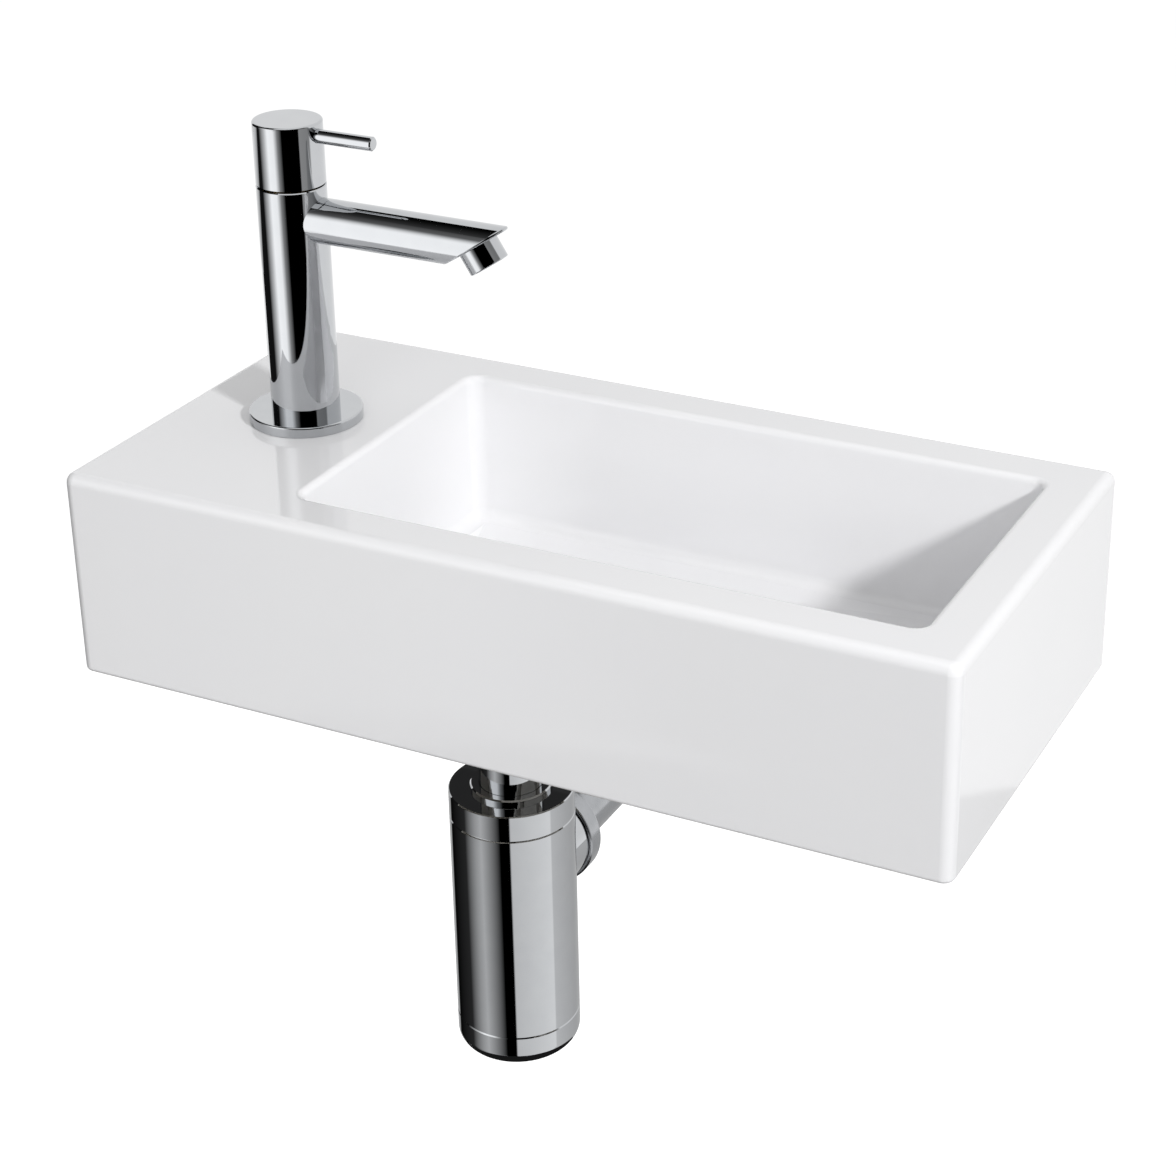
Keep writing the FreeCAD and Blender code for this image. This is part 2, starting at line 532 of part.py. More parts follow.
# Aerator pieces stand on the spout's mitre plane, their axis pointing out of it
def make_aerator():
    spot = ("tap_x + mitre_x", "-tap_from_wall", "rim_z + spout_height")
    tilt = FreeCAD.Rotation(FreeCAD.Vector(0, 1, 0), 90)
    inner = "aerator_bore - aerator_step"
    lip = "aerator_bore - aerator_lip"
    housing = turned("aerator_housing", [
        (inner, "-aerator_thread_length"), ("aerator_thread_radius", "-aerator_thread_length"),
        ("aerator_thread_radius", "0"), ("aerator_radius", "0"), ("aerator_radius", "aerator_length"),
        (lip, "aerator_length"), (lip, "aerator_length - aerator_lip"),
        ("aerator_bore", "aerator_length - aerator_lip"), ("aerator_bore", "aerator_floor"),
        (inner, "aerator_floor")], spot, tilt)
    round_circle(housing, "aerator_edge", "aerator_radius", "aerator_length", "aerator_round")
    insert = new_body("aerator_insert", spot, tilt)
    add(insert, "AdditiveCylinder", "insert_blank", ("0", "0", "aerator_floor"),
        Radius="aerator_bore - turned_gap", Height="aerator_length - aerator_lip - aerator_floor")
    jet = add(insert, "SubtractiveCylinder", "jet", ("jet_circle", "0", "aerator_floor"),
              Radius="jet_radius", Height="aerator_length - aerator_lip - aerator_floor")
    repeat(insert, jet, "jets", 8)
    washer = ring("aerator_washer", inner, "aerator_thread_radius",
                  "-aerator_thread_length - aerator_washer_height", "-aerator_thread_length", spot, tilt)
    for body in (housing, insert, washer):
        body.setExpression("Placement.Rotation.Angle", ref("180 - spout_mitre"))


# Always-open waste: a grid and a threaded body clamped through the floor by one screw
def make_waste():
    axis = ("waste_x", "-waste_from_wall", "0")
    ring("waste_upper_gasket", "drain_radius", "grid_radius", "recess_z", "grid_low", axis)
    dish_z = "drain_z - grid_dish"
    grid_floor = f"{dish_z} - grid_plate"
    screw_pass = "screw_radius + pass_gap"
    grid = turned("waste_grid", [
        (screw_pass, dish_z), ("grid_sleeve - grid_wall - grid_dish", dish_z), ("grid_sleeve", "drain_z"),
        ("grid_radius", "drain_z"), ("grid_radius", "grid_low"), ("grid_sleeve", "grid_low"),
        ("grid_sleeve", "grid_low - grid_sleeve_length"),
        ("grid_sleeve - grid_wall", "grid_low - grid_sleeve_length"), ("grid_sleeve - grid_wall", grid_floor),
        (screw_pass, grid_floor)], axis)
    hole = add(grid, "SubtractiveCylinder", "grid_hole", ("grid_hole_circle", "0", grid_floor),
               Radius="grid_hole_radius", Height="grid_plate")
    repeat(grid, hole, "grid_holes", 10)
    hub_low = "waste_top - hub_depth - hub_height"
    screw_head = f"{dish_z} + screw_head_height"
    turned("waste_screw", [
        ("0", hub_low), ("screw_radius", hub_low), ("screw_radius", dish_z), ("screw_head_radius", dish_z),
        ("screw_head_radius", f"{screw_head} - screw_chamfer"), ("screw_head_radius - screw_chamfer", screw_head),
        ("0", screw_head)], axis)
    ring("waste_lower_gasket", "drain_radius", "lower_gasket_radius", "waste_top", "shell_z", axis)
    cone_low = "waste_neck - waste_cone"
    body = turned("waste_body", [
        ("drain_radius", "waste_top"), ("waste_flange_radius", "waste_top"), ("waste_flange_radius", "waste_neck"),
        ("drain_radius + waste_cup_wall", "waste_neck"), ("waste_thread_radius", cone_low),
        ("waste_thread_radius", "tail_z"), ("waste_bore", "tail_z"), ("waste_bore", cone_low)], axis)
    spoke = add(body, "AdditiveBox", "spoke", ("screw_radius", "-spoke_width / 2", hub_low),
                Length="(waste_bore + waste_thread_radius) / 2 - screw_radius", Width="spoke_width",
                Height="hub_height")
    repeat(body, spoke, "spokes", 3)
    add(body, "AdditiveCylinder", "hub", ("0", "0", hub_low), Radius="hub_radius", Height="hub_height")
    add(body, "SubtractiveCylinder", "hub_bore", ("0", "0", hub_low), Radius="screw_radius + thread_gap",
        Height="hub_height")


# Trap inlet: the tube hangs in the coupling nut and slides in the lid's gland
def make_trap_inlet():
    axis = ("waste_x", "-waste_from_wall", "0")
    bore = "tube_radius - tube_wall"
    flange = "waste_thread_radius - pass_gap"
    ring("coupling_washer", bore, flange, "tube_top", "tail_z", axis)
    turned("inlet_tube", [
        (bore, "lid_z - dip_length"), ("tube_radius", "lid_z - dip_length"), ("tube_radius", "coupling_seat"),
        (flange, "coupling_seat"), (flange, "tube_top"), (bore, "tube_top")], axis)
    thread = "waste_thread_radius + thread_gap"
    nut = turned("coupling_nut", [
        (thread, "coupling_top"), ("coupling_radius", "coupling_top"), ("coupling_radius", "coupling_low"),
        ("tube_pass", "coupling_low"), ("tube_pass", "coupling_seat"), (thread, "coupling_seat")], axis)
    for name, level in (("coupling_top_edge", "coupling_top"), ("coupling_low_edge", "coupling_low")):
        round_circle(nut, name, "coupling_radius", level, "coupling_round")
    gland_top = "lid_z + gland_height"
    turned("gland_nut", [
        ("tube_pass", "gland_seat"), ("gland_thread_radius", "gland_seat"), ("gland_thread_radius", "lid_z"),
        ("gland_radius", "lid_z"), ("gland_radius", f"{gland_top} - gland_chamfer"),
        ("gland_radius - gland_chamfer", gland_top), ("tube_pass", gland_top)], axis)
    ring("inlet_seal", "tube_radius + seal_gap", "gland_thread_radius", "seal_seat", "gland_seat", axis)


def grooved_spigot(ring_level):
    """Corners of the ring groove that both bottle joints share, from its lower to its upper edge."""
    low = f"{ring_level} - ring_groove_width / 2"
    high = f"{ring_level} + ring_groove_width / 2"
    return [("spigot_radius_in_bottle", low), ("ring_groove_radius", low),
            ("ring_groove_radius", high), ("spigot_radius_in_bottle", high)]


def make_trap_bottle():
    axis = ("waste_x", "-waste_from_wall", "0")
    gland_bore = "gland_thread_radius + thread_gap"
    spigot_bore = "spigot_radius_in_bottle - spigot_wall"
    spigot_low = "bottle_top - lid_spigot"
    plate_low = "lid_z - lid_plate"
    hub = "gland_thread_radius + lid_hub_wall"
    hub_low = "seal_seat - lid_hub_floor"
    lid = turned("trap_lid", [
        (gland_bore, "lid_z"), ("bottle_radius", "lid_z"), ("bottle_radius", "bottle_top"),
        ("spigot_radius_in_bottle", "bottle_top"), *reversed(grooved_spigot("lid_ring_z")),
        ("spigot_radius_in_bottle", spigot_low), (spigot_bore, spigot_low), (spigot_bore, plate_low),
        (hub, plate_low), (hub, hub_low), ("tube_pass", hub_low), ("tube_pass", "seal_seat"),
        (gland_bore, "seal_seat")], axis)
    round_circle(lid, "lid_top_edge", "bottle_radius", "lid_z", "joint_chamfer", "Chamfer")
    round_circle(lid, "lid_joint_edge", "bottle_radius", "bottle_top", "joint_chamfer", "Chamfer")
    bottle = turned("trap_bottle", [
        ("bottle_bore", "bottle_low"), ("bottle_radius", "bottle_low"), ("bottle_radius", "bottle_top"),
        ("bottle_bore", "bottle_top")], axis)
    round_circle(bottle, "bottle_top_edge", "bottle_radius", "bottle_top", "joint_chamfer", "Chamfer")
    round_circle(bottle, "bottle_low_edge", "bottle_radius", "bottle_low", "joint_chamfer", "Chamfer")
    outlet = ("0", "0", "outlet_z")
    add(bottle, "AdditiveCylinder", "boss_collar", outlet, TO_WALL,
        Radius="boss_collar_radius", Height="boss_collar_reach")
    add(bottle, "AdditiveCylinder", "boss_thread", outlet, TO_WALL, Radius="boss_thread_radius", Height="boss_reach")
    add(bottle, "SubtractiveCylinder", "bottle_inside", ("0", "0", "bottle_low"),
        Radius="bottle_bore", Height="bottle_length")
    add(bottle, "SubtractiveCylinder", "boss_waterway", outlet, TO_WALL, Radius="boss_bore", Height="boss_reach")
    add(bottle, "SubtractiveCylinder", "boss_socket", ("0", "boss_collar_reach", "outlet_z"), TO_WALL,
        Radius="wall_tube_radius + pass_gap", Height="boss_reach - boss_collar_reach")
    spigot_top = "bottle_low + cap_spigot"
    cap = turned("cleanout_cap", [
        ("0", "cap_low"), ("bottle_radius", "cap_low"), ("bottle_radius", "bottle_low"),
        ("spigot_radius_in_bottle", "bottle_low"), *grooved_spigot("cap_ring_z"),
        ("spigot_radius_in_bottle", spigot_top), (spigot_bore, spigot_top),
        (spigot_bore, "cap_low + cap_floor"), ("0", "cap_low + cap_floor")], axis)
    round_circle(cap, "cap_low_edge", "bottle_radius", "cap_low", "cap_round")
    round_circle(cap, "cap_joint_edge", "bottle_radius", "bottle_low", "joint_chamfer", "Chamfer")
    for label, level in (("lid_seal", "lid_ring_z"), ("cap_o_ring", "cap_ring_z")):
        seal = new_body(label, (*axis[:2], level))
        add(seal, "AdditiveTorus", label + "_ring", Radius1="ring_groove_radius + ring_thickness / 2",
            Radius2="ring_thickness / 2")


# Trap outlet: a nut and a seal hold the wall tube in the boss. Heights run from the bottle's axis to the wall.
def make_trap_outlet():
    axis = ("waste_x", "-waste_from_wall", "outlet_z")
    tube_pass = "wall_tube_radius + pass_gap"
    thread = "boss_thread_radius + thread_gap"
    nut = turned("outlet_nut", [
        (thread, "outlet_nut_low"), ("outlet_nut_radius", "outlet_nut_low"),
        ("outlet_nut_radius", "outlet_nut_end"), (tube_pass, "outlet_nut_end"),
        (tube_pass, "outlet_seal_top"), (thread, "outlet_seal_top")], axis, TO_WALL)
    for name, level in (("nut_near_edge", "outlet_nut_low"), ("nut_wall_edge", "outlet_nut_end")):
        round_circle(nut, name, "outlet_nut_radius", level, "outlet_nut_round")
    ring("outlet_seal", "wall_tube_radius + seal_gap", "boss_thread_radius", "boss_reach", "outlet_seal_top",
         axis, TO_WALL)
    # A groove rolled into the tube's wall marks how far it goes into the boss
    bore = "wall_tube_radius - wall_tube_wall"
    groove_end = "outlet_nut_end + stop_groove_width"
    root = "boss_collar_reach + pass_gap"
    wall_end = "waste_from_wall + wall_entry"
    turned("wall_tube", [
        (bore, root), ("wall_tube_radius", root), ("wall_tube_radius", "outlet_nut_end"),
        ("wall_tube_radius - stop_groove_depth", "outlet_nut_end"),
        ("wall_tube_radius - stop_groove_depth", groove_end), ("wall_tube_radius", groove_end),
        ("wall_tube_radius", wall_end), (bore, wall_end), (bore, groove_end),
        (f"{bore} - stop_groove_depth", groove_end), (f"{bore} - stop_groove_depth", "outlet_nut_end"),
        (bore, "outlet_nut_end")], axis, TO_WALL)


make_basin()
make_tap_seat()
make_tap_body()
make_headwork()
make_handle()
make_spout()
make_aerator()
make_waste()
make_trap_inlet()
make_trap_bottle()
make_trap_outlet()
doc.recompute()

for item in doc.Objects:
    if "Invalid" in item.State or "Error" in item.State:
        raise RuntimeError(f"{item.Label} failed: {item.State}")
for piece in pieces:
    if piece.Shape.isNull() or not piece.Shape.isValid():
        raise RuntimeError(f"{piece.Label} has no valid shape")
    if len(piece.Shape.Solids) != 1:
        raise RuntimeError(f"{piece.Label} is {len(piece.Shape.Solids)} solids")

os.makedirs("parts", exist_ok=True)
for piece in pieces:
    piece.Shape.exportStep(f"parts/{piece.Label}.step")
    print(f"{piece.Label}: {piece.Shape.Volume / 1000:.2f} cm3")
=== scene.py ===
import math
import bpy
import numpy as np
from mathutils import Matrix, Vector


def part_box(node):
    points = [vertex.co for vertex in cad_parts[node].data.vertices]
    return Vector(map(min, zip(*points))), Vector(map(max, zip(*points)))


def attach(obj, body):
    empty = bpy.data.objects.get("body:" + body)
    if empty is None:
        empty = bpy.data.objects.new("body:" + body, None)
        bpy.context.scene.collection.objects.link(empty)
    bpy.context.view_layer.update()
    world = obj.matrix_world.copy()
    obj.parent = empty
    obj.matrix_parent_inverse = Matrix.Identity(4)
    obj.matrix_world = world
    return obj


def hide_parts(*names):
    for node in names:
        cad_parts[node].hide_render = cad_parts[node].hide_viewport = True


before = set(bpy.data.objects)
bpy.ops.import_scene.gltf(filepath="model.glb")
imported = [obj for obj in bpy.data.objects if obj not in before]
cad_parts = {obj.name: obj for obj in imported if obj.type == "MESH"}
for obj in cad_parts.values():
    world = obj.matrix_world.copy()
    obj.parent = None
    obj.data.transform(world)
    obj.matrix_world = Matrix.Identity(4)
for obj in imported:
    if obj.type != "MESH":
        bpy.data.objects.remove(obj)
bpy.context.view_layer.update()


# sRGB hex to the linear colour that the shaders take
def hexColour(text):
    channels = np.array([int(text[i:i + 2], 16) for i in (1, 3, 5)]) / 255
    linear = np.where(channels <= 0.04045, channels / 12.92, ((channels + 0.055) / 1.055) ** 2.4)
    return (*linear.tolist(), 1.0)


# Adds one node: settings are its own properties, values its sockets' numbers, feeds what runs into it
def addNode(tree, kind, settings=None, values=None, feeds=None):
    node = tree.nodes.new(kind)
    for key, value in (settings or {}).items():
        setattr(node, key, value)
    for key, value in (values or {}).items():
        node.inputs[key].default_value = value
    for key, source in (feeds or {}).items():
        tree.links.new(source, node.inputs[key])
    return node


# A bare material with its tree; finishMaterial puts the shader's constants and links on it
def startMaterial(name):
    material = bpy.data.materials.new(name)
    material.use_nodes = True
    material.node_tree.nodes.clear()
    return material, material.node_tree


def finishMaterial(tree, values, feeds):
    shader = addNode(tree, "ShaderNodeBsdfPrincipled", values=values, feeds=feeds)
    addNode(tree, "ShaderNodeOutputMaterial", feeds={"Surface": shader.outputs["BSDF"]})


sharpAngle = 38   # degrees between two faces, past which their edge shades as sharp


# Puts a grid of points, rows by columns, into a mesh, or a stack of such grids into one; either way round a
# grid may be closed on itself
def gridMesh(name, points, closeRows=False, closeColumns=False):
    points = points.reshape(-1, *points.shape[-3:])
    index = np.arange(points[..., 0].size).reshape(points.shape[:3])
    if closeRows:
        index = np.concatenate([index, index[:, :1]], axis=1)
    if closeColumns:
        index = np.concatenate([index, index[:, :, :1]], axis=2)
    corners = [index[:, :-1, :-1], index[:, :-1, 1:], index[:, 1:, 1:], index[:, 1:, :-1]]
    quads = np.stack(corners, axis=-1).reshape(-1, 4)
    mesh = bpy.data.meshes.new(name)
    mesh.from_pydata(points.reshape(-1, 3).tolist(), [], quads.tolist())
    mesh.polygons.foreach_set("use_smooth", np.ones(len(quads), bool))
    mesh.set_sharp_from_angle(angle=math.radians(sharpAngle))
    mesh.update()
    piece = bpy.data.objects.new(name, mesh)
    bpy.context.scene.collection.objects.link(piece)
    return piece


# Vitreous glaze on slip-cast fireclay: sprayed on and fired, so it is glassy, pools into long soft ripples, and
# stays off the wall face, the foot, the fixing holes and the hollow underneath, which show the matt cream biscuit
glazedFireclay = {
    "glaze": "#f2f2f3", "pooled": "#f0f0f2", "biscuit": "#d8d4cc", "biscuitDark": "#c8c3ba",
    "glazeRoughness": (0.048, 0.075), "biscuitRoughness": 0.82, "ior": 1.51,
    "rippleMm": 55, "rippleHeightMm": 0.035, "peelMm": 1.6, "peelHeightMm": 0.0006,
    "grainMm": 0.9, "grainHeightMm": 0.05,   # grog grain is about 0.4 mm, drawn twice as coarse to show
    "insideX": (-0.1837, 0.1837), "insideY": (-0.1762, 0.0),   # in metres, as are the rest
    "bowlX": (-0.0965, 0.1665), "bowlY": (-0.16, -0.0245),
    "bowlRoofZ": -0.0152, "hollowRoofZ": 0.0163, "deckRoofZ": 0.0486, "footZ": -0.0294, "wallY": -0.0006,
}


def makeGlaze(look):
    material, tree = startMaterial("glazedFireclay")
    place = addNode(tree, "ShaderNodeTexCoord").outputs["Object"]
    axes = addNode(tree, "ShaderNodeSeparateXYZ", feeds={0: place})
    ripple = addNode(tree, "ShaderNodeTexNoise", values={"Scale": 1000 / look["rippleMm"], "Detail": 1.0},
                     feeds={"Vector": place})
    peel = addNode(tree, "ShaderNodeTexNoise", values={"Scale": 1000 / look["peelMm"], "Detail": 2.0},
                   feeds={"Vector": place})
    grain = addNode(tree, "ShaderNodeTexNoise", values={"Scale": 1000 / look["grainMm"], "Detail": 4.0},
                    feeds={"Vector": place})
    # The bare clay: masks between two limits and past one, then both of two, one without the other, or either
    mask = {}
    for name in ("insideX", "insideY", "bowlX", "bowlY"):
        low, high = look[name]
        mask[name] = addNode(tree, "ShaderNodeMath", {"operation": "COMPARE"},
                             {1: (low + high) / 2, 2: (high - low) / 2}, {0: axes.outputs[name[-1]]})
    for name, operation, axis, limit in (
            ("underBowl", "LESS_THAN", "Z", look["bowlRoofZ"]),
            ("underHollow", "LESS_THAN", "Z", look["hollowRoofZ"]),
            ("underDeck", "LESS_THAN", "Z", look["deckRoofZ"]),
            ("tapSide", "LESS_THAN", "X", look["bowlX"][0]),
            ("foot", "LESS_THAN", "Z", look["footZ"]),
            ("wall", "GREATER_THAN", "Y", look["wallY"])):
        mask[name] = addNode(tree, "ShaderNodeMath", {"operation": operation}, {1: limit},
                             {0: axes.outputs[axis]})
    for name, operation, first, second in (
            ("inBowl", "MULTIPLY", "bowlX", "bowlY"),
            ("recess", "GREATER_THAN", "underHollow", "inBowl"),
            ("chamber", "MULTIPLY", "underDeck", "tapSide"),
            ("besideBowl", "MAXIMUM", "recess", "chamber"),
            ("below", "MAXIMUM", "underBowl", "besideBowl"),
            ("across", "MULTIPLY", "insideX", "insideY"),
            ("hollow", "MULTIPLY", "across", "below"),
            ("ends", "MAXIMUM", "foot", "wall"),
            ("bare", "MAXIMUM", "ends", "hollow")):
        mask[name] = addNode(tree, "ShaderNodeMath", {"operation": operation},
                             feeds={0: mask[first].outputs[0], 1: mask[second].outputs[0]})
    bare = mask["bare"].outputs[0]
    glazeTone = addNode(tree, "ShaderNodeMix", {"data_type": "RGBA"},
                        {6: hexColour(look["glaze"]), 7: hexColour(look["pooled"])}, {0: ripple.outputs["Fac"]})
    clayTone = addNode(tree, "ShaderNodeMix", {"data_type": "RGBA"},
                       {6: hexColour(look["biscuit"]), 7: hexColour(look["biscuitDark"])},
                       {0: grain.outputs["Fac"]})
    tone = addNode(tree, "ShaderNodeMix", {"data_type": "RGBA"},
                   feeds={0: bare, 6: glazeTone.outputs[2], 7: clayTone.outputs[2]})
    gloss = addNode(tree, "ShaderNodeMapRange",
                    values={3: look["glazeRoughness"][0], 4: look["glazeRoughness"][1]},
                    feeds={0: ripple.outputs["Fac"]})
    rough = addNode(tree, "ShaderNodeMix", {"data_type": "FLOAT"}, {3: look["biscuitRoughness"]},
                    {0: bare, 2: gloss.outputs[0]})
    rippleBump = addNode(tree, "ShaderNodeBump", values={"Distance": look["rippleHeightMm"] / 1000},
                         feeds={"Height": ripple.outputs["Fac"]})
    peelBump = addNode(tree, "ShaderNodeBump", values={"Distance": look["peelHeightMm"] / 1000},
                       feeds={"Height": peel.outputs["Fac"], "Normal": rippleBump.outputs[0]})
    grainBump = addNode(tree, "ShaderNodeBump", values={"Distance": look["grainHeightMm"] / 1000},
                        feeds={"Height": grain.outputs["Fac"], "Strength": bare, "Normal": peelBump.outputs[0]})
    finishMaterial(tree, {"IOR": look["ior"]},
                   {"Base Color": tone.outputs[2], "Roughness": rough.outputs[0], "Normal": grainBump.outputs[0]})
    return material


# Chromium plate over polished brass: a clear, slightly cool mirror with a faint polishing haze
polishedChrome = {"colour": "#c4c6c8", "haze": "#bcbec1", "roughness": (0.02, 0.05), "hazeMm": 9,
                  "swirlMm": 14, "swirlHeightMm": 0.004}

# The same plate over a less polished spun fitting: mirrors blur into soft grey; its colour and haze are also set
# darker than the polished plate's, painted shade for the outlet parts that sit in shade under the basin
satinShadedChrome = {"colour": "#b2b4b7", "haze": "#a3a5a8", "roughness": (0.16, 0.26), "hazeMm": 6,
               "swirlMm": 3, "swirlHeightMm": 0.003}


def makeChrome(name, look):
    material, tree = startMaterial(name)
    place = addNode(tree, "ShaderNodeTexCoord").outputs["Object"]
    haze = addNode(tree, "ShaderNodeTexNoise", values={"Scale": 1000 / look["hazeMm"], "Detail": 3.0},
                   feeds={"Vector": place})
    swirl = addNode(tree, "ShaderNodeTexNoise", values={"Scale": 1000 / look["swirlMm"], "Detail": 1.0},
                    feeds={"Vector": place})
    tone = addNode(tree, "ShaderNodeMix", {"data_type": "RGBA"},
                   {6: hexColour(look["colour"]), 7: hexColour(look["haze"])}, {0: haze.outputs["Fac"]})
    rough = addNode(tree, "ShaderNodeMapRange", values={3: look["roughness"][0], 4: look["roughness"][1]},
                    feeds={0: haze.outputs["Fac"]})
    bump = addNode(tree, "ShaderNodeBump", values={"Distance": look["swirlHeightMm"] / 1000},
                   feeds={"Height": swirl.outputs["Fac"]})
    finishMaterial(tree, {"Metallic": 1.0},
                   {"Base Color": tone.outputs[2], "Roughness": rough.outputs[0], "Normal": bump.outputs[0]})
    return material


# Free-cutting brass left as turned: warm yellow with tool rings round the axis and patches of tarnish
turnedBrass = {"colour": "#cfaa5e", "tarnish": "#a8843f", "roughness": (0.2, 0.42),
               "ringMm": 1.1, "ringHeightMm": 0.008,   # feed marks are about 0.15 mm, drawn coarser to show
               "tarnishMm": 5}

# Stainless steel screws and washers: cold headed and tumbled, grey with a fine even tooth
tumbledSteel = {"colour": "#b4b6b8", "tarnish": "#9a9c9f", "roughness": (0.22, 0.38),
                "ringMm": 1.4, "ringHeightMm": 0.003, "tarnishMm": 1.6}


def makeTurnedMetal(name, look):
    material, tree = startMaterial(name)
    place = addNode(tree, "ShaderNodeTexCoord").outputs["Object"]
    ringScale = 2 * math.pi / 20 * 1000 / look["ringMm"]   # at scale 1 the wave turns 20 radians a metre
    rings = addNode(tree, "ShaderNodeTexWave", {"bands_direction": "Z"},
                    {"Scale": ringScale, "Distortion": 0.4}, {"Vector": place})
    patches = addNode(tree, "ShaderNodeTexNoise", values={"Scale": 1000 / look["tarnishMm"], "Detail": 4.0},
                      feeds={"Vector": place})
    tone = addNode(tree, "ShaderNodeMix", {"data_type": "RGBA"},
                   {6: hexColour(look["colour"]), 7: hexColour(look["tarnish"])}, {0: patches.outputs["Fac"]})
    rough = addNode(tree, "ShaderNodeMapRange", values={3: look["roughness"][0], 4: look["roughness"][1]},
                    feeds={0: patches.outputs["Fac"]})
    bump = addNode(tree, "ShaderNodeBump", values={"Distance": look["ringHeightMm"] / 1000},
                   feeds={"Height": rings.outputs["Fac"]})
    finishMaterial(tree, {"Metallic": 1.0},
                   {"Base Color": tone.outputs[2], "Roughness": rough.outputs[0], "Normal": bump.outputs[0]})
    return material


# Black EPDM rubber, compression moulded: matt, with a grey bloom and a fine pitted skin
mouldedRubber = {"colour": "#1b1c1d", "bloom": "#34363a", "roughness": (0.55, 0.8), "grainMm": 0.7,
                 "grainHeightMm": 0.02, "ior": 1.5}

# Alumina valve discs, pressed, fired and lapped: ivory, dense and nearly mirror flat
lappedAlumina = {"colour": "#efe9da", "bloom": "#e3dbc8", "roughness": (0.12, 0.22), "grainMm": 1.2,
                 "grainHeightMm": 0.001, "ior": 1.76}

# White acetal aerator core, injection moulded: milky, soft sheen, faint flow marks
mouldedAcetal = {"colour": "#e9e9e6", "bloom": "#dcdcd8", "roughness": (0.32, 0.45), "grainMm": 2.2,
                 "grainHeightMm": 0.004, "ior": 1.48}


def makeMoulded(name, look):
    material, tree = startMaterial(name)
    place = addNode(tree, "ShaderNodeTexCoord").outputs["Object"]
    grain = addNode(tree, "ShaderNodeTexNoise", values={"Scale": 1000 / look["grainMm"], "Detail": 5.0},
                    feeds={"Vector": place})
    tone = addNode(tree, "ShaderNodeMix", {"data_type": "RGBA"},
                   {6: hexColour(look["colour"]), 7: hexColour(look["bloom"])}, {0: grain.outputs["Fac"]})
    rough = addNode(tree, "ShaderNodeMapRange", values={3: look["roughness"][0], 4: look["roughness"][1]},
                    feeds={0: grain.outputs["Fac"]})
    bump = addNode(tree, "ShaderNodeBump", values={"Distance": look["grainHeightMm"] / 1000},
                   feeds={"Height": grain.outputs["Fac"]})
    finishMaterial(tree, {"IOR": look["ior"]},
                   {"Base Color": tone.outputs[2], "Roughness": rough.outputs[0], "Normal": bump.outputs[0]})
    return material


# One finish for each of the record's slots, and the rougher plate of the outlet behind the trap, whose darker
# colour is painted shade under the basin
finishes = {
    "glaze": makeGlaze(glazedFireclay),
    "chrome": makeChrome("polishedChrome", polishedChrome),
    "satin": makeChrome("satinShadedChrome", satinShadedChrome),
    "bare_brass": makeTurnedMetal("turnedBrass", turnedBrass),
    "steel": makeTurnedMetal("tumbledSteel", tumbledSteel),
    "seal_rubber": makeMoulded("mouldedRubber", mouldedRubber),
    "disc_ceramic": makeMoulded("lappedAlumina", lappedAlumina),
    "insert_plastic": makeMoulded("mouldedAcetal", mouldedAcetal),
}
satinShadedNodes = ["outlet_nut", "wall_tube"]
for nodeName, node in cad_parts.items():
    slotName = node.material_slots[0].material.name.split(".")[0]
    node.material_slots[0].material = finishes["satin" if nodeName in satinShadedNodes else slotName]
print("finishes made:", ", ".join(finishes))

# The tap's tail with its pipe thread, G 1/2, which the plain CAD shank leaves out
shankThread = {"axis": (-0.135, -0.0925), "crestMm": 10.48, "boreMm": 6.0, "reliefMm": 9.68,
               "tailMm": (13.5, 33.5), "reliefTopMm": 35.5, "topMm": 77.4, "pitchMm": 1.814, "depthMm": 1.16,
               "endMm": 0.4, "rows": 120, "columns": 96}


# A profile of radius against height carried round the tap's axis, up the outside and down the bore; on the tail
# the radius dips by the depth times half of one minus the cosine of (height in pitches less turns round), and by
# the whole depth where the thread runs out at its two ends
def makeShank(look):
    (low, high), crest, relief = look["tailMm"], look["crestMm"], look["reliefMm"]
    tail = np.linspace(low + look["endMm"], high - look["endMm"], look["rows"])
    height = np.concatenate([[low, low], tail, [high, high], [look["reliefTopMm"]] * 2, [look["topMm"]] * 2])
    root = crest - look["depthMm"]
    radius = np.concatenate([[look["boreMm"], root], np.full(len(tail), crest),
                             [root, relief, relief, crest, crest, look["boreMm"]]])
    runOut = np.clip(np.minimum(height - low, high - height) / look["pitchMm"], 0, 1)
    angle = np.linspace(0, 2 * math.pi, look["columns"], endpoint=False)
    wave = (1 - np.cos(2 * math.pi * height[:, None] / look["pitchMm"] - angle)) / 2
    onTail = (height > low) & (height < high)
    dip = np.where(onTail[:, None], look["depthMm"] * (1 - runOut[:, None] * (1 - wave)), 0)
    across = (radius[:, None] - dip) / 1000
    points = np.stack(np.broadcast_arrays(look["axis"][0] + across * np.cos(angle),
                                          look["axis"][1] + across * np.sin(angle),
                                          height[:, None] / 1000), axis=-1)
    shank = gridMesh("shank_thread", points, closeRows=True, closeColumns=True)
    shank.data.materials.append(finishes["bare_brass"])
    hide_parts("threaded_shank")
    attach(shank, "fixed")


makeShank(shankThread)

# The waste's screw with its driver slot
slottedScrew = {"axis": (-0.0415, -0.0925), "headMm": 5.5, "topMm": -7.1, "baseMm": -8.5, "chamferMm": 0.9,
                "slotMm": 1.5, "slotDeepMm": 0.75, "shankMm": 3.0, "tipMm": -34.0, "tipChamferMm": 0.6,
                "turn": 35, "slices": 15, "chordPoints": 33}   # slices on each side of the slot


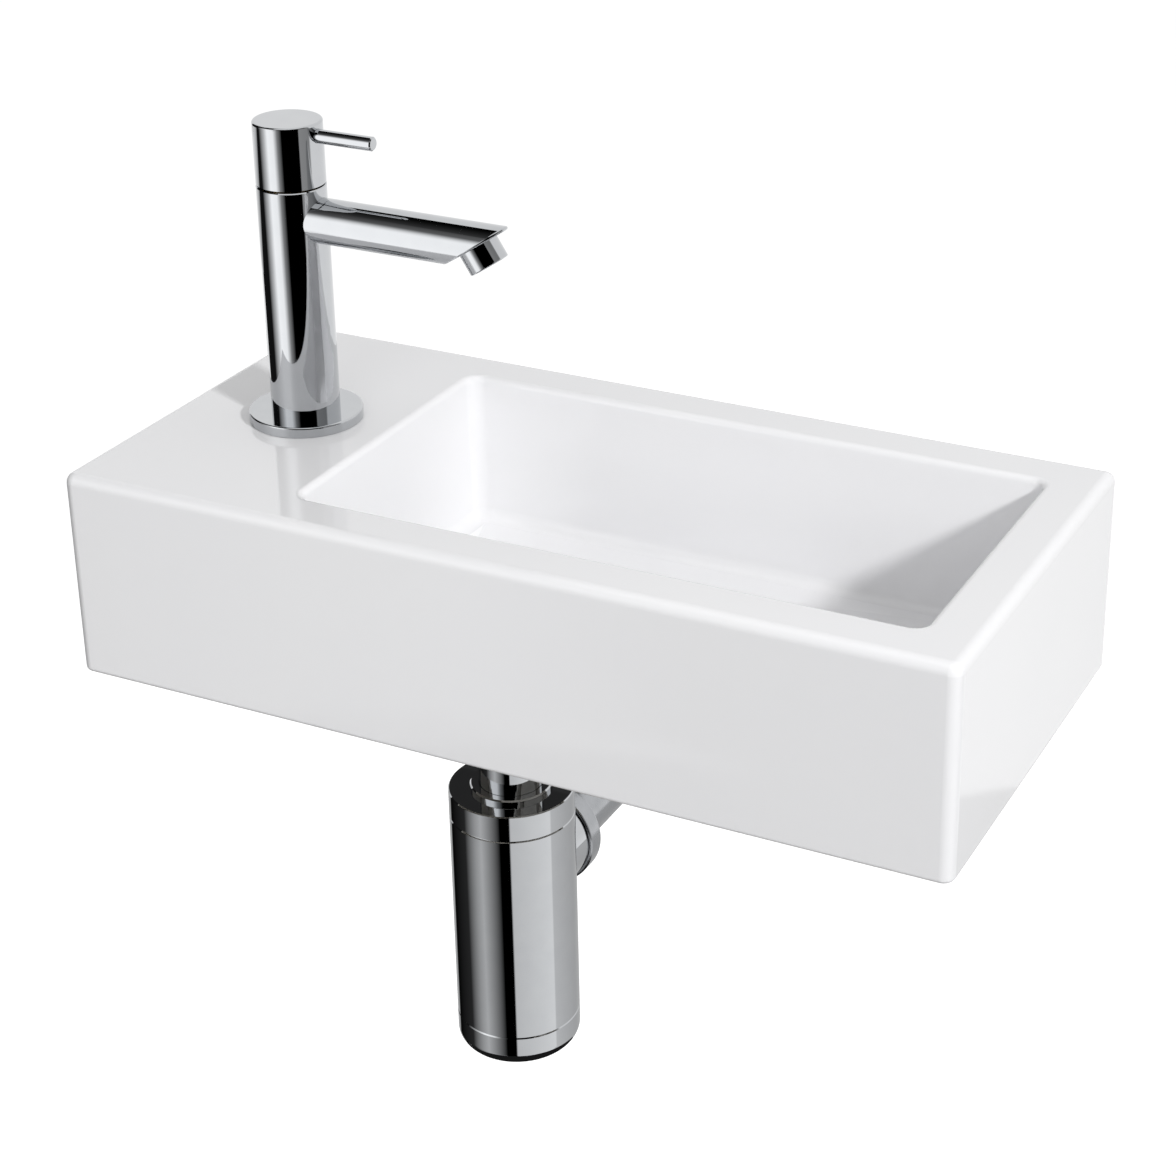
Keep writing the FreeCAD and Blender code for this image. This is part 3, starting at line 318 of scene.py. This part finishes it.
# Two closed grids: the head is slices across it, each a loop of half chord times a share from -1 to 1, along its
# top and back along its base, lowered in the slot's slices; the shank is a profile carried round the axis
def makeScrew(look):
    radius, half, tipCut = look["headMm"], look["slotMm"] / 2, look["tipChamferMm"]
    rim = -radius + (radius - half) * np.sin(np.linspace(0, math.pi / 2, look["slices"]))
    cut = np.concatenate([rim, [-half, 0, half], -rim[::-1]])
    inSlot = np.abs(np.arange(len(cut)) - len(cut) // 2) <= 1
    share = np.sin(np.linspace(-math.pi / 2, math.pi / 2, look["chordPoints"]))
    chord = np.sqrt(np.maximum(radius ** 2 - cut ** 2, 0))[:, None]
    along = np.concatenate([chord * share, chord * -share], axis=1)
    out = np.hypot(along, cut[:, None])
    top = look["topMm"] - np.maximum(0, out - radius + look["chamferMm"])
    top = np.where(inSlot[:, None], np.minimum(top, look["topMm"] - look["slotDeepMm"]), top)
    height = np.where(np.arange(along.shape[1]) < len(share), top, look["baseMm"])
    head = np.stack(np.broadcast_arrays(along, cut[:, None], height), axis=-1)
    stemRows = len(cut) - 3   # both grids have the same number of rows
    stem = np.concatenate([[0, look["shankMm"] - tipCut], np.full(stemRows, look["shankMm"]), [0]])
    rise = np.concatenate([[look["tipMm"]] * 2, np.linspace(look["tipMm"] + tipCut, look["baseMm"], stemRows),
                           [look["baseMm"]]])
    angle = np.linspace(0, 2 * math.pi, along.shape[1], endpoint=False)
    shank = np.stack(np.broadcast_arrays(np.outer(stem, np.cos(angle)), np.outer(stem, np.sin(angle)),
                                         rise[:, None]), axis=-1)
    points = np.stack([head, shank]) / 1000
    turn = math.radians(look["turn"])
    spin = np.array([[math.cos(turn), math.sin(turn), 0], [-math.sin(turn), math.cos(turn), 0], [0, 0, 1]])
    points = points @ spin + np.array([*look["axis"], 0])
    screw = gridMesh("slotted_screw", points, closeColumns=True)
    screw.data.materials.append(finishes["steel"])
    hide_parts("waste_screw")
    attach(screw, "fixed")


makeScrew(slottedScrew)

# The aerator's woven wire gauze, in the mouth of its housing below the core
aeratorGauze = {"wireMm": 0.24, "pitchMm": 0.75, "radiusMm": 6.0, "belowCoreMm": 3.9,
                "axis": (0.5446, 0, -0.8387), "steps": 97, "sides": 6}


# Two families of wires at right angles: each is a round profile along a chord of the disc, lifted by half a wire
# times the cosine of half a turn for each pitch, so that every wire goes over one and under the next
def makeGauze(look):
    pitch, thick = look["pitchMm"], look["wireMm"]
    count = int(2 * look["radiusMm"] / pitch) - 1
    offset = (np.arange(count) - (count - 1) / 2) * pitch
    share = np.concatenate([[-1], np.linspace(-1, 1, look["steps"]), [1]])
    swell = np.concatenate([[0], np.ones(look["steps"]), [0]])   # nought at the ends closes them
    side = np.linspace(0, 2 * math.pi, look["sides"], endpoint=False)
    run = (share[None, :] * np.sqrt(look["radiusMm"] ** 2 - offset[:, None] ** 2))[..., None]
    sign = ((-1.0) ** np.arange(count))[:, None, None]
    lift = thick / 2 * sign * np.cos(math.pi * (run - offset[0]) / pitch)
    ring = thick / 2 * swell[None, :, None]
    over = offset[:, None, None] + ring * np.cos(side)
    length = np.broadcast_to(run, over.shape)
    normal = np.array(look["axis"])
    across = np.array([0.0, 1.0, 0.0])
    down = np.cross(normal, across)
    warp = over[..., None] * across + length[..., None] * down + (lift - ring * np.sin(side))[..., None] * normal
    weft = length[..., None] * across + over[..., None] * down + (ring * np.sin(side) - lift)[..., None] * normal
    low, high = (np.array(corner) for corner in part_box("aerator_insert"))
    points = np.concatenate([warp, weft]) / 1000 + (low + high) / 2 + normal * look["belowCoreMm"] / 1000
    gauze = gridMesh("aerator_gauze", points, closeColumns=True)
    gauze.data.materials.append(finishes["steel"])
    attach(gauze, "fixed")


makeGauze(aeratorGauze)
print("fine pieces made: tail thread, slotted screw, aerator gauze")


# 1 for the camera's rays and for those that mirrors and glass send on, 0 for the rest
def seenRays(tree):
    path = addNode(tree, "ShaderNodeLightPath")
    mirror = addNode(tree, "ShaderNodeMath", {"operation": "MAXIMUM"},
                     feeds={0: path.outputs["Is Glossy Ray"], 1: path.outputs["Is Transmission Ray"]})
    return addNode(tree, "ShaderNodeMath", {"operation": "MAXIMUM"},
                   feeds={0: path.outputs["Is Camera Ray"], 1: mirror.outputs[0]}).outputs[0]


# Stage: a pale floor 0.88 m below the rim, the height such a basin is hung at
stageFloor = {"height": -0.82, "rings": (0.02, 0.5, 1.0, 2.0, 4.0, 7.0), "columns": 96, "colour": "#b4b4b4",
              "glow": 0.85}


# Rings round the origin at the floor's height; white to the camera and to mirrors, so the backdrop reads white,
# while its own shading keeps the shadow, and clear from below
def makeFloor(look):
    angle = np.linspace(0, 2 * math.pi, look["columns"], endpoint=False)
    radius = np.array(look["rings"])
    disc = np.stack([np.outer(radius, np.cos(angle)), np.outer(radius, np.sin(angle)),
                     np.full((len(radius), len(angle)), look["height"])], axis=-1)
    floor = gridMesh("floor", disc[::-1], closeColumns=True)
    material, tree = startMaterial("paleFloor")
    glow = addNode(tree, "ShaderNodeMath", {"operation": "MULTIPLY"}, {1: look["glow"]}, {0: seenRays(tree)})
    matt = addNode(tree, "ShaderNodeBsdfDiffuse", values={"Color": hexColour(look["colour"])})
    light = addNode(tree, "ShaderNodeEmission", feeds={"Strength": glow.outputs[0]})
    both = addNode(tree, "ShaderNodeAddShader", feeds={0: matt.outputs[0], 1: light.outputs[0]})
    clear = addNode(tree, "ShaderNodeBsdfTransparent")
    side = addNode(tree, "ShaderNodeNewGeometry")
    surface = addNode(tree, "ShaderNodeMixShader",
                      feeds={0: side.outputs["Backfacing"], 1: both.outputs[0], 2: clear.outputs[0]})
    addNode(tree, "ShaderNodeOutputMaterial", feeds={"Surface": surface.outputs[0]})
    floor.data.materials.append(material)


makeFloor(stageFloor)

# What the polished metal mirrors: round screens that only mirror rays meet, as a studio's soft boxes and black
# flags; a stop is an angle in degrees from the camera's side of the piece, to its right, with the brightness
# there, which goes down to the dim share between the two fade heights
screenTap = {
    "axis": (-0.135, -0.0925), "facing": 34.4, "radius": 0.6, "low": -0.33, "high": 1.0,
    "fade": (0.33, 0.72), "dim": 0.1, "columns": 181,
    "stops": [(-145, 0.01), (-105, 0.01), (-84, 0.8), (-70, 1.6), (-50, 1.5), (-36, 0.35), (-22, 0.0), (32, 0.0),
              (34, 0.4), (68, 0.35), (73, 0.95)],
}
screenTrap = {
    "axis": (-0.0415, -0.0925), "facing": 29.9, "radius": 0.6, "low": -0.8, "high": -0.33,
    "fade": (-0.8, -0.33), "dim": 1.0, "columns": 181,   # as bright at its top as at its foot
    "stops": [(-180, 0.5), (-150, 0.5), (-144, 0.0), (-96, 0.03), (-72, 0.5), (-60, 0.68), (-40, 0.3), (-24, 0.0),
              (-7, 0.0), (-5, 0.85), (70, 1.1), (72, 0.8), (132, 0.55), (180, 0.5)],
}


# Only mirrors meet these; they light nothing and shade nothing
def mirrorOnly(screen):
    screen.visible_camera = screen.visible_diffuse = False
    screen.visible_transmission = screen.visible_shadow = False


# A wall of constant radius: the point at (turn, height) stands at the axis plus radius times (sin turn, -cos
# turn); its brightness runs through the stops along the turn and dims with height
def makeScreen(name, look):
    angles, levels = np.array(look["stops"]).T
    turn = np.linspace(angles[0], angles[-1], look["columns"])
    height = np.array([look["low"], look["high"]])
    around = np.radians(turn + look["facing"])[:, None]
    points = np.stack(np.broadcast_arrays(look["axis"][0] + look["radius"] * np.sin(around),
                                          look["axis"][1] - look["radius"] * np.cos(around), height), axis=-1)
    screen = gridMesh(name, points)
    attribute = screen.data.attributes.new("share", "FLOAT", "POINT")
    attribute.data.foreach_set("value", np.repeat(np.linspace(0, 1, len(turn)), len(height)))
    material, tree = startMaterial(name)
    along = addNode(tree, "ShaderNodeAttribute", {"attribute_name": "share"})
    ramp = addNode(tree, "ShaderNodeValToRGB", feeds={"Fac": along.outputs["Fac"]})
    share = (angles - angles[0]) / (angles[-1] - angles[0])
    stops = ramp.color_ramp.elements
    stops[0].position, stops[1].position = share[0], share[-1]
    for place in share[1:-1]:
        stops.new(place)
    for stop, level in zip(stops, levels):
        stop.color = (level, level, level, 1)
    place = addNode(tree, "ShaderNodeTexCoord").outputs["Object"]
    axes = addNode(tree, "ShaderNodeSeparateXYZ", feeds={0: place})
    fade = addNode(tree, "ShaderNodeMapRange", {"interpolation_type": "SMOOTHSTEP"},
                   {1: look["fade"][0], 2: look["fade"][1], 3: 1.0, 4: look["dim"]}, {0: axes.outputs["Z"]})
    light = addNode(tree, "ShaderNodeEmission",
                    feeds={"Color": ramp.outputs["Color"], "Strength": fade.outputs[0]})
    addNode(tree, "ShaderNodeOutputMaterial", feeds={"Surface": light.outputs[0]})
    screen.data.materials.append(material)
    mirrorOnly(screen)


makeScreen("screenTap", screenTap)
makeScreen("screenTrap", screenTrap)

# Flat flags for mirrors: one above, the dark band along the spout, one below, the dark foot of the trap, one
# behind and one under the foot of the basin, the dark top of the trap's lid: these two are painted shade, dark
# sheets that stand in, for mirrors only, for the shaded underside of the basin; and a bright strip, the pale left
# edge of the handle; each by its middle, its two half sides, its level and how fast that falls along the second
mirrorFlags = {
    "flagAbove": {"middle": (-0.6, -0.1, 1.0), "half": ((0.17, 0, 0), (0, 0.43, 0)),
                  "level": 0.06, "fall": 2.2},
    "flagBelow": {"middle": (-0.04, -0.095, -0.805), "half": ((0.6, 0, 0), (0, 0.6, 0)),
                  "level": 0.015, "fall": 0},
    # painted shade: dark sheets behind and under the basin, seen only in mirrors, in place of its shaded
    # underside
    "shadeSheetBehind": {"middle": (-0.15, 0.06, -0.0375), "half": ((0.16, 0, 0), (0, 0, 0.0575)),
                   "level": 0.04, "fall": 0},
    "shadeSheetUnder": {"middle": (-0.09, -0.03, -0.0315), "half": ((0.08, 0, 0), (0, 0.035, 0)),
                  "level": 0.03, "fall": 0},
    "stripLeft": {"middle": (-0.6189, 0.0336, 0.0), "half": ((-0.032, -0.1229, 0.05), (-0.0345, -0.1326, 0)),
                  "level": 1.0, "fall": 0.4},
}
flagPoints = 9   # along each side


# A flat four-sided sheet: its middle plus each half side times a share from -1 to 1; its level falls along the
# second side as a share from 1 to 0, to the power of its fall
def makeFlag(name, look):
    share = np.linspace(-1, 1, flagPoints)
    along, across = (np.array(side) for side in look["half"])
    points = np.array(look["middle"]) + share[:, None, None] * along + share[None, :, None] * across
    flag = gridMesh(name, points)
    level = flag.data.attributes.new("level", "FLOAT", "POINT")
    level.data.foreach_set("value", np.tile(look["level"] * ((1 - share) / 2) ** look["fall"], flagPoints))
    material, tree = startMaterial(name)
    glow = addNode(tree, "ShaderNodeAttribute", {"attribute_name": "level"})
    light = addNode(tree, "ShaderNodeEmission", feeds={"Strength": glow.outputs["Fac"]})
    addNode(tree, "ShaderNodeOutputMaterial", feeds={"Surface": light.outputs[0]})
    flag.data.materials.append(material)
    mirrorOnly(flag)


for flagName, flagLook in mirrorFlags.items():
    makeFlag(flagName, flagLook)

# Even light from all round for matt surfaces, and plain white for the camera and for mirrors
studioWorld = {"level": 0.35, "backdrop": 1.0}


def makeWorld(look):
    world = bpy.data.worlds.new("studioWorld")
    world.use_nodes = True
    tree = world.node_tree
    tree.nodes.clear()
    soft = addNode(tree, "ShaderNodeBackground", values={"Color": (1, 1, 1, 1), "Strength": look["level"]})
    white = addNode(tree, "ShaderNodeBackground", values={"Color": (1, 1, 1, 1), "Strength": look["backdrop"]})
    both = addNode(tree, "ShaderNodeMixShader",
                   feeds={0: seenRays(tree), 1: soft.outputs[0], 2: white.outputs[0]})
    addNode(tree, "ShaderNodeOutputWorld", feeds={"Surface": both.outputs[0]})
    bpy.context.scene.world = world


makeWorld(studioWorld)

# Soft lamps, each by its azimuth from the front (to the right), elevation, distance, side and watts
lampAim = (0.03, -0.0925, 0.03)
studioLamps = {
    "keyRight": {"azimuth": 63.6, "elevation": 31.5, "distance": 2.6, "side": 0.22, "watts": 44},
    "fillHigh": {"azimuth": 10, "elevation": 24, "distance": 1.7, "side": 0.9, "watts": 5.4},
    "fillLow": {"azimuth": -10, "elevation": 2, "distance": 1.7, "side": 0.9, "watts": 1.8},
    "overhead": {"azimuth": 0, "elevation": 88, "distance": 1.7, "side": 0.9, "watts": 2.2},
    "fillBehind": {"azimuth": 235, "elevation": 2, "distance": 1.7, "side": 0.9, "watts": 11.5},
}


# Stands a lamp or camera off its aim point, at an azimuth, elevation and distance, looking back at it
def standOff(holder, aim, look):
    azimuth, elevation = math.radians(look["azimuth"]), math.radians(look["elevation"])
    away = Vector((math.sin(azimuth) * math.cos(elevation), -math.cos(azimuth) * math.cos(elevation),
                   math.sin(elevation)))
    holder.location = Vector(aim) + away * look["distance"]
    holder.rotation_euler = away.to_track_quat("Z", "Y").to_euler()
    bpy.context.scene.collection.objects.link(holder)


for lampName, lamp in studioLamps.items():
    light = bpy.data.lights.new(lampName, "AREA")
    light.shape, light.size, light.energy = "SQUARE", lamp["side"], lamp["watts"]
    holder = bpy.data.objects.new(lampName, light)
    holder.visible_glossy = False   # the screens are what mirrors see
    standOff(holder, lampAim, lamp)
print("stage set: floor, two screens,", len(mirrorFlags), "flags and", len(studioLamps), "lamps")

# Camera at the photograph's angle, slid in its frame as a shift lens is
viewCamera = {"azimuth": 25.106, "elevation": 24.274, "distance": 1.03391, "target": (0.04841, -0.09, 0.06902),
              "lens": 79.86, "sensor": 36, "shift": (-0.0961, -0.1003), "clip": (0.01, 30)}
camera = bpy.data.objects.new("viewCamera", bpy.data.cameras.new("viewCamera"))
standOff(camera, viewCamera["target"], viewCamera)
camera.data.lens, camera.data.sensor_width = viewCamera["lens"], viewCamera["sensor"]
camera.data.shift_x, camera.data.shift_y = viewCamera["shift"]
camera.data.clip_start, camera.data.clip_end = viewCamera["clip"]
bpy.context.scene.camera = camera
bpy.context.scene.view_settings.view_transform = "Standard"
print("camera set at", [round(v, 3) for v in camera.location])
